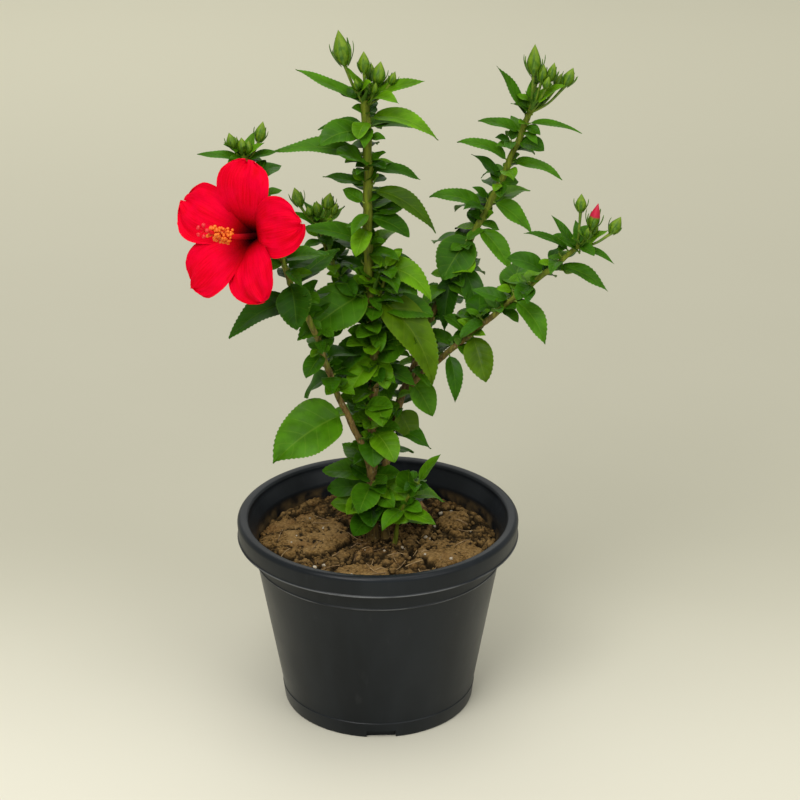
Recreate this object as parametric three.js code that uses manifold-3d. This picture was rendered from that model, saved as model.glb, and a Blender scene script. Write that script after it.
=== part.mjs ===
// A young hibiscus shrub with one open bloom, standing in its round black nursery pot.
// Millimetres, +Z up. The origin is the centre of the pot's flat underside, and the
// bloom looks towards -Y and -X. Stems are single tapering limbs. Each mass of leaves is one
// closed uneven solid, cut round the limbs that run through it.
import * as THREE from 'three';
import { mergeVertices } from 'three/addons/utils/BufferGeometryUtils.js';
import Module from 'manifold-3d';

const wasm = await Module();
wasm.setup();

// Driving dimensions
const GAP = 0.3;
const POT_HEIGHT = 182;
const RIM_RADIUS = 127;
const BASE_RADIUS = 87;
const SHOULDER_RADIUS = 112;
const LIP_HEIGHT = 19;
const BAND_HEIGHT = 20;
const FOOT_HEIGHT = 15;
const WALL = 2.5;
const FLOOR = 3;
const POT_SIDES = 36;
const SLOT_COUNT = 4;
const SLOT_WIDTH = 26;
const SLOT_HEIGHT = 7;
const SLOT_TURN = THREE.MathUtils.degToRad(2);

const SOIL_TOP = 155;
const SOIL_SIDES = 28;
const SOIL_BUMP = 2.6;
const STEM_PAD = 22;

const LIMB_SIDES = 8;
const LIMB_STEP = 19;
const GOLDEN_TURN = THREE.MathUtils.degToRad(137.5);

const BLOOM_THROAT = new THREE.Vector3(-98, -80, 474);
const BLOOM_TURN = 34;
const BLOOM_LIFT = 18;
const BLOOM_RADIUS = 61;
const BLOOM_DEPTH = 32;
const COLUMN_LENGTH = 78;
const PETALS = 5;

const COLOURS = {
  pot: ['#23262b', 0.55],
  soil: ['#7a5d3e', 0.95],
  bark: ['#6b5b35', 0.8],
  greenStem: ['#6f8f3c', 0.6],
  leaf: ['#3f7a2c', 0.5],
  youngLeaf: ['#7fae3c', 0.5],
  bloom: ['#c8102e', 0.6],
};

const plant = new THREE.Group();

function place(name, geometry, colour) {
  const [hex, roughness] = COLOURS[colour];
  const material = new THREE.MeshStandardMaterial({ color: hex, roughness, metalness: 0 });
  const mesh = new THREE.Mesh(geometry, material);
  mesh.name = name;
  plant.add(mesh);
}

// Solids: a closed geometry goes in, joins and cuts are made, and a geometry comes out.
function weld(geometry) {
  const bare = geometry.clone();
  bare.deleteAttribute('normal');
  bare.deleteAttribute('uv');
  return mergeVertices(bare, 1e-3);
}

function solid(geometry) {
  const welded = weld(geometry);
  return new wasm.Manifold(new wasm.Mesh({
    numProp: 3,
    vertProperties: new Float32Array(welded.attributes.position.array),
    triVerts: new Uint32Array(welded.index.array),
  }));
}

function biggestBody(manifold) {
  const bodies = manifold.decompose();
  return bodies.reduce((best, body) => (body.volume() > best.volume() ? body : best));
}

function toGeometry(manifold) {
  const mesh = manifold.getMesh();
  const geometry = new THREE.BufferGeometry();
  geometry.setAttribute('position', new THREE.BufferAttribute(mesh.vertProperties, 3));
  geometry.setIndex(new THREE.BufferAttribute(mesh.triVerts, 1));
  geometry.computeVertexNormals();
  return geometry;
}

function turned(profile, sides) {
  const points = profile.map(([radius, height]) => new THREE.Vector2(radius, height));
  const geometry = new THREE.LatheGeometry(points, sides);
  geometry.rotateX(Math.PI / 2);
  return geometry;
}

// The pot: a tapering wall on a flat floor, a band under a rolled lip with an open skirt,
// and drain slots through the foot.
const innerRadius = (height) => THREE.MathUtils.lerp(
  BASE_RADIUS - WALL,
  SHOULDER_RADIUS - WALL,
  height / (POT_HEIGHT - LIP_HEIGHT),
);

function potProfile() {
  const lipBottom = POT_HEIGHT - LIP_HEIGHT;
  const bandBottom = lipBottom - BAND_HEIGHT;
  return [
    [0, 0],
    [BASE_RADIUS - 2.5, 0],
    [BASE_RADIUS, 2.5],
    [BASE_RADIUS + 1.5, FOOT_HEIGHT],
    [BASE_RADIUS + 0.9, FOOT_HEIGHT + 1],
    [SHOULDER_RADIUS - 1.6, bandBottom],
    [SHOULDER_RADIUS - 0.2, bandBottom + 1],
    [SHOULDER_RADIUS + 0.8, lipBottom],
    [RIM_RADIUS - 7.5, POT_HEIGHT - 4.5],
    [RIM_RADIUS - 3, POT_HEIGHT - 4.5],
    [RIM_RADIUS - 3.2, lipBottom],
    [RIM_RADIUS - 1.2, lipBottom],
    [RIM_RADIUS, POT_HEIGHT - 5],
    [RIM_RADIUS - 1.8, POT_HEIGHT - 1],
    [RIM_RADIUS - 5, POT_HEIGHT],
    [RIM_RADIUS - 8, POT_HEIGHT - 0.5],
    [RIM_RADIUS - 10.5, POT_HEIGHT - 3],
    [innerRadius(lipBottom), lipBottom],
    [innerRadius(FLOOR), FLOOR],
    [0, FLOOR],
  ];
}

function pot() {
  let body = solid(turned(potProfile(), POT_SIDES));
  for (let i = 0; i < SLOT_COUNT; i += 1) {
    const slot = new THREE.BoxGeometry(SLOT_WIDTH, 14, 2 * SLOT_HEIGHT);
    slot.translate(0, -BASE_RADIUS, 0);
    slot.rotateZ(SLOT_TURN + (i * 2 * Math.PI) / SLOT_COUNT);
    body = body.subtract(solid(slot));
  }
  return toGeometry(body);
}

// The soil fills the pot to a hand's width of clods below the rim. It is level where the
// stems stand on it.
function soilTop(x, y) {
  const clods = Math.sin(x / 11 + 1.3) * Math.cos(y / 13 - 0.6) + 0.5 * Math.sin((x + y) / 7);
  const fade = THREE.MathUtils.smoothstep(Math.hypot(x, y), STEM_PAD, 2 * STEM_PAD);
  return SOIL_TOP + (SOIL_BUMP / 1.5) * clods * fade;
}

function soil() {
  const top = SOIL_TOP;
  const edge = (height) => innerRadius(height) - 2 * GAP;
  const geometry = turned([
    [0, FLOOR + GAP],
    [edge(FLOOR), FLOOR + GAP],
    [edge(top), top],
    [86, top],
    [70, top],
    [55, top],
    [40, top],
    [STEM_PAD, top],
    [0, top],
  ], SOIL_SIDES);
  const position = geometry.attributes.position;
  for (let i = 0; i < position.count; i += 1) {
    if (position.getZ(i) > top - 1) {
      position.setZ(i, soilTop(position.getX(i), position.getY(i)));
    }
  }
  return toGeometry(solid(geometry));
}

// Limbs: each follows a smooth spine from its foot to its tip and tapers all the way.
// `to` is the share of the spine that the limb itself runs: the rest of it lies inside the
// mass of leaves that the limb ends in.
const onSoil = SOIL_TOP + GAP;
const LIMBS = {
  trunk: {
    spine: [
      [-5, 8, onSoil], [-5, 6, 224], [-4, 3, 290], [-2, 2, 342],
      [-6, 3, 399], [-8, 2, 450], [-7, 0, 503], [-9, 0, 566],
    ],
    foot: 4.8, tip: 3.6, flare: 2.2, to: 0.96, colour: 'bark',
  },
  left_bough: {
    spine: [
      [-5, 6, 205], [-10, -3, 241], [-34, -20, 306], [-53, -36, 372],
      [-73, -48, 423], [-89, -50, 481], [-109, -45, 531],
    ],
    foot: 3, tip: 2.1, flare: 0, to: 0.93, colour: 'bark',
  },
  inner_left_shoot: {
    spine: [[-2, 2, 342], [-17, 8, 374], [-39, 20, 414], [-52, 28, 448]],
    foot: 2, tip: 1.4, flare: 0, to: 0.75, colour: 'greenStem',
  },
  right_bough: {
    spine: [
      [6, 10, onSoil], [7, 13, 225], [17, 20, 274], [38, 32, 327],
      [50, 40, 361], [84, 56, 427], [106, 62, 470], [137, 58, 550],
    ],
    foot: 3.8, tip: 2.5, flare: 1.6, to: 0.95, colour: 'bark',
  },
  right_outer_bough: {
    spine: [[24, 24, 290], [36, 18, 307], [80, -8, 358], [120, -28, 402], [170, -47, 454]],
    foot: 2.8, tip: 2.1, flare: 0, to: 0.93, colour: 'greenStem',
  },
  foot_shoot: {
    spine: [[14, -4, onSoil], [22, -8, 190], [36, -12, 218]],
    foot: 1.9, tip: 1.2, flare: 0.8, to: 0.7, colour: 'greenStem',
  },
  right_side_shoot: {
    spine: [[-5, 2, 378], [4, -2, 396], [7, -3, 414]],
    foot: 1.6, tip: 1.1, flare: 0, to: 0.9, colour: 'greenStem',
  },
  bloom_stalk: {
    spine: [[-76, -49, 434], [-80, -58, 452], [-89.5, -67.4, 469]],
    foot: 1.6, tip: 1.7, flare: 0, to: 0.97, colour: 'greenStem',
  },
};

for (const limb of Object.values(LIMBS)) {
  const points = limb.spine.map(([x, y, z]) => new THREE.Vector3(x, y, z));
  limb.curve = new THREE.CatmullRomCurve3(points);
  limb.length = limb.curve.getLength();
}

function limbSolid({ curve, length, foot, tip, flare, to }, grow = 0) {
  const steps = Math.max(4, Math.round((length * to) / LIMB_STEP));
  const geometry = new THREE.CylinderGeometry(1, 1, 1, LIMB_SIDES, steps);
  const position = geometry.attributes.position;
  const side = new THREE.Vector3();
  const reference = new THREE.Vector3(0, 1, 0);
  const footHeight = curve.getPointAt(0).z;
  for (let i = 0; i < position.count; i += 1) {
    const share = (position.getY(i) + 0.5) * to;
    const along = curve.getTangentAt(share);
    const across = new THREE.Vector3().crossVectors(reference, along).normalize();
    const normal = new THREE.Vector3().crossVectors(along, across);
    const root = flare * Math.exp((-share * length) / 9);
    const radius = THREE.MathUtils.lerp(foot, tip, share) + root + grow;
    side.copy(across).multiplyScalar(-position.getZ(i) * radius);
    side.addScaledVector(normal, -position.getX(i) * radius);
    const point = curve.getPointAt(share).add(side);
    const standing = share === 0 && flare > 0;
    position.setXYZ(i, point.x, point.y, standing ? footHeight - grow : point.z);
  }
  return solid(geometry);
}

// Masses of leaves. `on` and `at` give the limb and the share of its spine where the mass
// sits, `shift` moves its middle off the limb, `half` is its half height, `reach` how far
// its usual leaves stand out, `turn` the bearing of its lowest leaf, and `long` names its
// longest leaves or buds by bearing, rise (degrees) and reach from the middle.
const MASSES = {
  foot_leaves: {
    on: 'trunk', at: 0.09, shift: [0, -4, 0], half: 22, reach: 34, leaves: 7, turn: 20,
    long: [[174, 5, 46], [310, -25, 40]],
  },
  foot_shoot_leaves: {
    on: 'foot_shoot', at: 0.9, shift: [0, 0, 0], half: 14, reach: 18, leaves: 4, turn: 60,
    long: [[0, 60, 26]],
  },
  low_leaves: {
    on: 'trunk', at: 0.27, shift: [0, -2, 0], half: 20, reach: 33, leaves: 6, turn: 290,
    long: [[190, 10, 36]],
  },
  middle_leaves: {
    on: 'trunk', at: 0.42, shift: [0, -2, 0], half: 26, reach: 40, leaves: 7, turn: 35,
    long: [[172, -35, 48], [300, -30, 42]],
  },
  broad_leaves: {
    on: 'trunk', at: 0.57, shift: [0, 0, 0], half: 26, reach: 44, leaves: 7, turn: 80,
    long: [[211, -14, 70], [335, -42, 80]],
  },
  upper_leaves: {
    on: 'trunk', at: 0.72, shift: [0, 0, 0], half: 26, reach: 40, leaves: 7, turn: 120,
    long: [[192, 14, 60], [32, 4, 48]],
  },
  high_leaves: {
    on: 'trunk', at: 0.86, shift: [0, 0, 0], half: 20, reach: 42, leaves: 6, turn: 10,
    long: [[180, 2, 79], [338, -45, 68]],
  },
  tip_leaves: {
    on: 'trunk', at: 0.975, shift: [0, 0, 4], half: 20, reach: 36, leaves: 6, turn: 100,
    long: [[180, 22, 66], [350, -25, 66], [348, 22, 56], [180, 72, 68]],
  },
  left_low_leaf: {
    on: 'left_bough', at: 0.21, shift: [-8, -6, 2], half: 12, reach: 24, leaves: 4, turn: 30,
    long: [[213, -22, 70]],
  },
  left_inner_leaves: {
    on: 'left_bough', at: 0.38, shift: [2, 2, 0], half: 16, reach: 24, leaves: 5, turn: 140,
    long: [[155, -47, 34]],
  },
  left_middle_leaves: {
    on: 'left_bough', at: 0.6, shift: [0, 0, 0], half: 20, reach: 32, leaves: 5, turn: 250,
    long: [[203, -19, 67], [294, -42, 42]],
  },
  left_tip_leaves: {
    on: 'left_bough', at: 0.98, shift: [0, 0, 0], half: 13, reach: 24, leaves: 5, turn: 30,
    long: [[192, 10, 38], [95, 70, 38], [345, 8, 34]],
  },
  left_bud_leaves: {
    on: 'left_bough', at: 0.86, shift: [14, 12, -2], half: 11, reach: 20, leaves: 4, turn: 200,
    long: [[20, 62, 26]],
  },
  inner_left_leaves: {
    on: 'inner_left_shoot', at: 0.9, shift: [0, 4, 4], half: 20, reach: 26, leaves: 6, turn: 75,
    long: [[120, 65, 32]],
  },
  right_low_leaves: {
    on: 'right_bough', at: 0.42, shift: [4, 4, 0], half: 16, reach: 26, leaves: 5, turn: 160,
    long: [[60, -30, 36]],
  },
  right_middle_leaves: {
    on: 'right_bough', at: 0.655, shift: [0, 0, 0], half: 22, reach: 34, leaves: 6, turn: 15,
    long: [[298, -60, 66], [25, -55, 56]],
  },
  right_upper_leaves: {
    on: 'right_bough', at: 0.8, shift: [0, 0, 0], half: 18, reach: 32, leaves: 6, turn: 70,
    long: [[191, 18, 58], [330, -30, 48]],
  },
  right_high_leaves: {
    on: 'right_bough', at: 0.91, shift: [0, 0, 0], half: 13, reach: 28, leaves: 5, turn: 220,
    long: [[186, 22, 50], [346, -8, 50]],
  },
  right_tip_leaves: {
    on: 'right_bough', at: 0.99, shift: [0, 0, 2], half: 13, reach: 24, leaves: 5, turn: 130,
    long: [[351, -8, 52], [180, 52, 52], [100, 88, 50]],
  },
  outer_low_leaves: {
    on: 'right_outer_bough', at: 0.3, shift: [0, 0, -4], half: 16, reach: 26, leaves: 5, turn: 95,
    long: [[290, -64, 42]],
  },
  outer_middle_leaves: {
    on: 'right_outer_bough', at: 0.68, shift: [0, 0, 0], half: 12, reach: 26, leaves: 5, turn: 40,
    long: [[328, -38, 47], [170, 15, 31]],
  },
  outer_tip_leaves: {
    on: 'right_outer_bough', at: 0.97, shift: [0, 0, 0], half: 13, reach: 25, leaves: 6, turn: 65,
    long: [[350, -48, 48], [351, -10, 38], [0, 45, 36], [187, 20, 42], [100, 78, 46]],
  },
};

const bearingToUnit = (bearing, rise) => new THREE.Vector3(
  Math.cos(rise) * Math.cos(bearing),
  Math.cos(rise) * Math.sin(bearing),
  Math.sin(rise),
);

// Every leaf of a mass is a lobe that swells out of a small uneven core.
function lobesOf({ half, reach, leaves, turn, long }) {
  const { degToRad } = THREE.MathUtils;
  const lobes = [];
  for (let i = 0; i < leaves; i += 1) {
    const bearing = degToRad(turn) + i * GOLDEN_TURN;
    const lift = (i + 0.5) / leaves - 0.5;
    const rise = Math.atan2(2 * half * lift, reach * 0.7);
    const length = reach * (0.86 + 0.14 * Math.sin(2.1 * i + turn));
    lobes.push({ aim: bearingToUnit(bearing, rise), length, named: false });
  }
  for (const [bearing, rise, length] of long) {
    lobes.push({ aim: bearingToUnit(degToRad(bearing), degToRad(rise)), length, named: true });
  }
  return lobes;
}

const MASS_DETAIL = 2;
const LEAF_SPREAD = 0.36;
const LOWEST_LEAF = SOIL_TOP + SOIL_BUMP + 1;

function massSolid(row, grow = 0) {
  const limb = LIMBS[row.on];
  const middle = limb.curve.getPointAt(row.at).add(new THREE.Vector3(...row.shift));
  const lobes = lobesOf(row);
  const core = new THREE.Vector3(row.reach * 0.5, row.reach * 0.5, row.half);
  const geometry = weld(new THREE.IcosahedronGeometry(1, MASS_DETAIL));
  const position = geometry.attributes.position;
  const units = [];
  for (let i = 0; i < position.count; i += 1) {
    units.push(new THREE.Vector3().fromBufferAttribute(position, i).normalize());
  }
  const points = units.map((unit) => {
    let radius = 1 / Math.hypot(unit.x / core.x, unit.y / core.y, unit.z / core.z);
    for (const { aim, length } of lobes) {
      const swell = Math.exp(-((unit.angleTo(aim) / LEAF_SPREAD) ** 2));
      radius += Math.max(0, length - radius) * swell;
    }
    return unit.clone().multiplyScalar(radius + grow);
  });
  for (const { aim, length, named } of lobes) {
    if (named) {
      const nearest = units.reduce((best, unit, i) => (
        unit.angleTo(aim) < units[best].angleTo(aim) ? i : best), 0);
      points[nearest] = aim.clone().multiplyScalar(length + grow);
    }
  }
  points.forEach((point, i) => {
    point.add(middle);
    position.setXYZ(i, point.x, point.y, Math.max(point.z, LOWEST_LEAF - grow));
  });
  return solid(geometry);
}

// The bloom: a five-lobed funnel with its green calyx behind and its column in front.
function bloomSolid(grow = 0) {
  const lobeStart = 14;
  const geometry = turned([
    [0, -16 - grow],
    [6 + grow, -14 - grow],
    [8 + grow, -2],
    [18, 2 - grow],
    [40, 13 - grow],
    [BLOOM_RADIUS, BLOOM_DEPTH - 6 - grow],
    [BLOOM_RADIUS + 1 + grow, BLOOM_DEPTH - 2],
    [BLOOM_RADIUS - 4, BLOOM_DEPTH + grow],
    [38, 19 + grow],
    [16, 9 + grow],
    [3.5 + grow, 6],
    [2.2 + grow, COLUMN_LENGTH * 0.55],
    [7 + grow, COLUMN_LENGTH * 0.7],
    [6 + grow, COLUMN_LENGTH * 0.95],
    [0, COLUMN_LENGTH + grow],
  ], 5 * PETALS);
  const position = geometry.attributes.position;
  for (let i = 0; i < position.count; i += 1) {
    const x = position.getX(i);
    const y = position.getY(i);
    const radius = Math.hypot(x, y);
    if (radius > lobeStart) {
      const notch = Math.abs(Math.sin((PETALS / 2) * Math.atan2(y, x)));
      const share = 1 - 0.17 * (1 - notch) * ((radius - lobeStart) / (BLOOM_RADIUS - lobeStart));
      position.setXY(i, x * share, y * share);
    }
  }
  const turn = THREE.MathUtils.degToRad(BLOOM_TURN);
  const lift = THREE.MathUtils.degToRad(BLOOM_LIFT);
  geometry.rotateX(Math.PI / 2 - lift);
  geometry.rotateZ(-turn);
  geometry.translate(BLOOM_THROAT.x, BLOOM_THROAT.y, BLOOM_THROAT.z);
  return solid(geometry);
}

place('pot', pot(), 'pot');
place('soil', soil(), 'soil');

let cut = bloomSolid(GAP);
place('bloom', toGeometry(bloomSolid()), 'bloom');

for (const [name, limb] of Object.entries(LIMBS)) {
  const body = biggestBody(limbSolid(limb).subtract(cut));
  cut = cut.add(limbSolid(limb, GAP + 0.1));
  place(name, toGeometry(body), limb.colour);
}

for (const [name, row] of Object.entries(MASSES)) {
  const body = biggestBody(massSolid(row).subtract(cut));
  cut = cut.add(massSolid(row, 4 * GAP));
  place(name, toGeometry(body), row.half < 15 ? 'youngLeaf' : 'leaf');
}

export default plant;
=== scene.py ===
import math
import random

import bpy
import bmesh
from mathutils import Matrix, Vector, noise


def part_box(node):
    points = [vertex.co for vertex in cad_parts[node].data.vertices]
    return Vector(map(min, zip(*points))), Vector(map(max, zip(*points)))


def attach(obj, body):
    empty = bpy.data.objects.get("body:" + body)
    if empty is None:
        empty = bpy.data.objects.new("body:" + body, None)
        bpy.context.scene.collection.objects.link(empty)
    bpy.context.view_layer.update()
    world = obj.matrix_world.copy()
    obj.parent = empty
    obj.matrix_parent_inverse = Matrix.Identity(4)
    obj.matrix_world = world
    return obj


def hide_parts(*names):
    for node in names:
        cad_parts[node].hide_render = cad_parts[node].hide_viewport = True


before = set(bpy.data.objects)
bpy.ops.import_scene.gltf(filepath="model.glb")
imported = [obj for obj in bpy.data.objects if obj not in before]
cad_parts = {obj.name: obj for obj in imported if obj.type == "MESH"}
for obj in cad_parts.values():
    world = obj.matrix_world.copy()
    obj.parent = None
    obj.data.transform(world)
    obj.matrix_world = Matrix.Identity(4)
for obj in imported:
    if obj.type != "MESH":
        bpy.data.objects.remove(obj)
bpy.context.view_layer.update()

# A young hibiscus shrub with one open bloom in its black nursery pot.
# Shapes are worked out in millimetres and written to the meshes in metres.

MM = 0.001
UP = Vector((0, 0, 1))
GOLDEN_TURN = 137.5

pot_low, pot_high = (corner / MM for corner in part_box("pot"))
soil_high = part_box("soil")[1] / MM
POT_HEIGHT = pot_high.z
RIM_RADIUS = (pot_high.x - pot_low.x) / 2
SOIL_TOP = 155
# noise_vector, in the soil's cracks, takes its offsets from this seed, or else from the clock.
noise.seed_set(1)


# ---------------------------------------------------------------- mesh building

class Pile:
    """Many small shapes joined in one mesh. Each shape has a tile of its own in the map."""

    def __init__(self):
        self.points = []
        self.faces = []
        self.slots = []
        self.corners = []
        self.tones = []
        self.tiles = []

    def grid(self, rows, slot=0, tone=0.5, loop=False, flip=False, room=1):
        """A sheet of quads over rows of points. loop joins each row's end to its start.
        room is the side of its tile in the map, in the smallest tile's sides."""
        first = len(self.points)
        wide = len(rows[0])
        for row in rows:
            self.points.extend(row)
        tones = tone if isinstance(tone, list) else [tone] * len(rows)
        for value in tones:
            self.tones.extend([value] * wide)
        across = wide if loop else wide - 1
        for i in range(len(rows) - 1):
            for j in range(across):
                after = (j + 1) % wide
                face = [(i, j, j), (i, after, j + 1), (i + 1, after, j + 1), (i + 1, j, j)]
                if flip:
                    face.reverse()
                self.faces.append([first + r * wide + c for r, c, _ in face])
                for r, _, place in face:
                    self.corners.append((len(self.tiles), place / across, r / (len(rows) - 1)))
                self.slots.append(slot)
        self.tiles.append(room)
        return first

    def cap(self, first, count, slot=0, flip=False):
        """Closes a ring of points that the pile already holds."""
        ring = list(range(first, first + count))
        if flip:
            ring.reverse()
        self.faces.append(ring)
        self.slots.append(slot)
        for k in range(count):
            turn = 2 * math.pi * k / count
            self.corners.append((len(self.tiles), 0.5 + 0.5 * math.cos(turn), 0.5 + 0.5 * math.sin(turn)))
        self.tiles.append(1)

    def closed(self, rows, slot=0, tone=0.5):
        """A closed body over rings of points, with a cap at either end."""
        sides = len(rows[0])
        first = self.grid(rows, slot, tone, loop=True)
        self.cap(first, sides, slot, flip=True)
        self.cap(first + (len(rows) - 1) * sides, sides, slot)

    def tube(self, path, radii, sides=8, slot=0, tone=0.5, relief=None):
        """A closed round tube along a path. relief gives an added radius at (share, angle)."""
        rows = []
        across = path[1] - path[0]
        side = across.orthogonal().normalized()
        for i, point in enumerate(path):
            ahead = (path[min(i + 1, len(path) - 1)] - path[max(i - 1, 0)]).normalized()
            side = (side - ahead * side.dot(ahead)).normalized()
            other = ahead.cross(side)
            row = []
            for k in range(sides):
                turn = 2 * math.pi * k / sides
                radius = radii[i] + (relief(i / (len(path) - 1), turn) if relief else 0)
                row.append(point + (side * math.cos(turn) + other * math.sin(turn)) * radius)
            rows.append(row)
        self.closed(rows, slot, tone)

    def ball(self, centre, axis, profile, sides=8, slot=0, tone=0.5, lobes=0, lobe_depth=0.0):
        """A closed turned shape: profile holds (height, radius) pairs along axis."""
        axis = axis.normalized()
        side = axis.orthogonal().normalized()
        other = axis.cross(side)
        rows = []
        for height, radius in profile:
            row = []
            for k in range(sides):
                turn = 2 * math.pi * k / sides
                r = radius * (1 + lobe_depth * math.cos(lobes * turn))
                row.append(centre + axis * height + (side * math.cos(turn) + other * math.sin(turn)) * r)
            rows.append(row)
        self.closed(rows, slot, tone)

    def shell(self, rows, normals, thickness, slot=0, under=1, tone=0.5, room=1):
        """A thin leaf of two faces that meet at its edge."""
        last_row = len(rows) - 1
        last_column = len(rows[0]) - 1
        back = []
        for i, row in enumerate(rows):
            back.append([
                point - normals[i] * (0 if i in (0, last_row) or j in (0, last_column) else thickness)
                for j, point in enumerate(row)
            ])
        self.grid(rows, slot, tone, room=room)
        self.grid(back, under, tone, flip=True)

    def tile_places(self):
        """Where each tile lies in the map: the largest first, in rows from the bottom."""
        side = math.ceil(math.sqrt(sum(room * room for room in self.tiles)))
        order = sorted(range(len(self.tiles)), key=lambda tile: -self.tiles[tile])
        while True:
            places = {}
            x = y = 0
            height = self.tiles[order[0]]
            for tile in order:
                room = self.tiles[tile]
                if x + room > side:
                    x = 0
                    y += height
                    height = room
                places[tile] = (x, y)
                x += room
            if y + height <= side:
                return side, places
            side += 1

    def build(self, name, materials, slot_name, nodes=(), sharp=55):
        mesh = bpy.data.meshes.new(name)
        mesh.from_pydata([p * MM for p in self.points], [], self.faces)
        side, places = self.tile_places()
        baked = []
        local = []
        for tile, u, v in self.corners:
            x, y = places[tile]
            reach = self.tiles[tile] - 0.08
            baked += [(x + 0.04 + reach * u) / side, (y + 0.04 + reach * v) / side]
            local += [u, v]
        mesh.uv_layers.new(name="OFBake").data.foreach_set("uv", baked)
        mesh.uv_layers.new(name="Local").data.foreach_set("uv", local)
        mesh.attributes.new("tone", "FLOAT", "POINT").data.foreach_set("value", self.tones)
        for material in materials:
            mesh.materials.append(material)
        mesh.polygons.foreach_set("material_index", self.slots)
        mesh.polygons.foreach_set("use_smooth", [True] * len(self.faces))
        mesh.update()
        mesh.set_sharp_from_angle(angle=math.radians(sharp))
        return keep(bpy.data.objects.new(name, mesh), nodes)


def keep(piece, nodes=()):
    """Puts a piece in the scene, on the plant's one body."""
    if piece.name not in bpy.context.scene.collection.objects:
        bpy.context.scene.collection.objects.link(piece)
    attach(piece, "root")
    if nodes:
        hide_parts(*nodes)
    return piece


def lerp(a, b, share):
    return a + (b - a) * share


def smoothstep(value, low=0.0, high=1.0):
    x = min(max((value - low) / (high - low), 0), 1)
    return x * x * (3 - 2 * x)


def smooth_path(points, count):
    """Evenly spaced points along a smooth curve through the given ones."""
    points = [Vector(p) for p in points]
    ends = [2 * points[0] - points[1]] + points + [2 * points[-1] - points[-2]]
    dense = []
    for i in range(1, len(ends) - 2):
        a, b, c, d = ends[i - 1:i + 3]
        for k in range(20):
            t = k / 20
            dense.append(0.5 * (2 * b + (c - a) * t + (2 * a - 5 * b + 4 * c - d) * t ** 2
                                + (3 * b - a - 3 * c + d) * t ** 3))
    dense.append(points[-1])
    lengths = [0.0]
    for a, b in zip(dense, dense[1:]):
        lengths.append(lengths[-1] + (b - a).length)
    even = []
    k = 0
    for i in range(count):
        wanted = lengths[-1] * i / (count - 1)
        while k < len(dense) - 2 and lengths[k + 1] < wanted:
            k += 1
        step = lengths[k + 1] - lengths[k]
        even.append(dense[k].lerp(dense[k + 1], min(max((wanted - lengths[k]) / step, 0), 1)))
    return even


def aim(bearing, rise):
    """A unit vector from a compass bearing about +Z and a rise, both in degrees."""
    b = math.radians(bearing)
    r = math.radians(rise)
    return Vector((math.cos(r) * math.cos(b), math.cos(r) * math.sin(b), math.sin(r)))


# ---------------------------------------------------------------- materials

class Look:
    """A Principled material whose detail comes from nodes."""

    def __init__(self, name, roughness=0.5, **fixed):
        self.material = bpy.data.materials.new(name)
        self.material.use_nodes = True
        self.tree = self.material.node_tree
        self.shader = self.tree.nodes["Principled BSDF"]
        self.shader.inputs["Roughness"].default_value = roughness
        for socket, value in fixed.items():
            self.shader.inputs[socket.replace("_", " ")].default_value = value
        self.object_place = self.node("ShaderNodeTexCoord").outputs["Object"]

    def node(self, kind, **settings):
        made = self.tree.nodes.new(kind)
        for name, value in settings.items():
            setattr(made, name, value)
        return made

    def put(self, socket, value):
        if hasattr(value, "is_linked"):
            self.tree.links.new(value, socket)
        else:
            socket.default_value = value

    def maths(self, operation, *values):
        made = self.node("ShaderNodeMath", operation=operation)
        for socket, value in zip(made.inputs, values):
            self.put(socket, value)
        return made.outputs[0]

    def mix(self, share, a, b, blend="MIX"):
        made = self.node("ShaderNodeMix", data_type="RGBA", blend_type=blend)
        self.put(made.inputs[0], share)
        self.put(made.inputs[6], a)
        self.put(made.inputs[7], b)
        return made.outputs[2]

    def range(self, value, low, high, to_low=0.0, to_high=1.0):
        made = self.node("ShaderNodeMapRange", interpolation_type="SMOOTHSTEP")
        for k, item in enumerate((value, low, high, to_low, to_high)):
            self.put(made.inputs[k], item)
        return made.outputs[0]

    def noise(self, scale, detail=3.0, place=None, stretch=None):
        place = place or self.object_place
        if stretch:
            mapping = self.node("ShaderNodeMapping")
            self.put(mapping.inputs["Vector"], place)
            mapping.inputs["Scale"].default_value = stretch
            place = mapping.outputs[0]
        made = self.node("ShaderNodeTexNoise")
        self.put(made.inputs["Vector"], place)
        made.inputs["Scale"].default_value = scale
        made.inputs["Detail"].default_value = detail
        return made.outputs[0]

    def local(self):
        """The place across and along each small shape, from 0 to 1."""
        uv = self.node("ShaderNodeUVMap", uv_map="Local")
        split = self.node("ShaderNodeSeparateXYZ")
        self.put(split.inputs[0], uv.outputs[0])
        return split.outputs[0], split.outputs[1], uv.outputs[0]

    def height(self):
        split = self.node("ShaderNodeSeparateXYZ")
        self.put(split.inputs[0], self.object_place)
        return split.outputs[2]

    def tone(self):
        return self.node("ShaderNodeAttribute", attribute_name="tone").outputs["Fac"]

    def bump(self, height, strength, distance, before=None):
        made = self.node("ShaderNodeBump")
        made.inputs["Strength"].default_value = strength
        made.inputs["Distance"].default_value = distance
        self.put(made.inputs["Height"], height)
        if before is not None:
            self.put(made.inputs["Normal"], before)
        return made.outputs[0]

    def finish(self, colour=None, roughness=None, normal=None):
        for socket, value in (("Base Color", colour), ("Roughness", roughness), ("Normal", normal)):
            if value is not None:
                self.put(self.shader.inputs[socket], value)
        return self.material


def shade(colour, times=1.0):
    return tuple(min(c * times, 1) for c in colour[:3]) + (1,)


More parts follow.
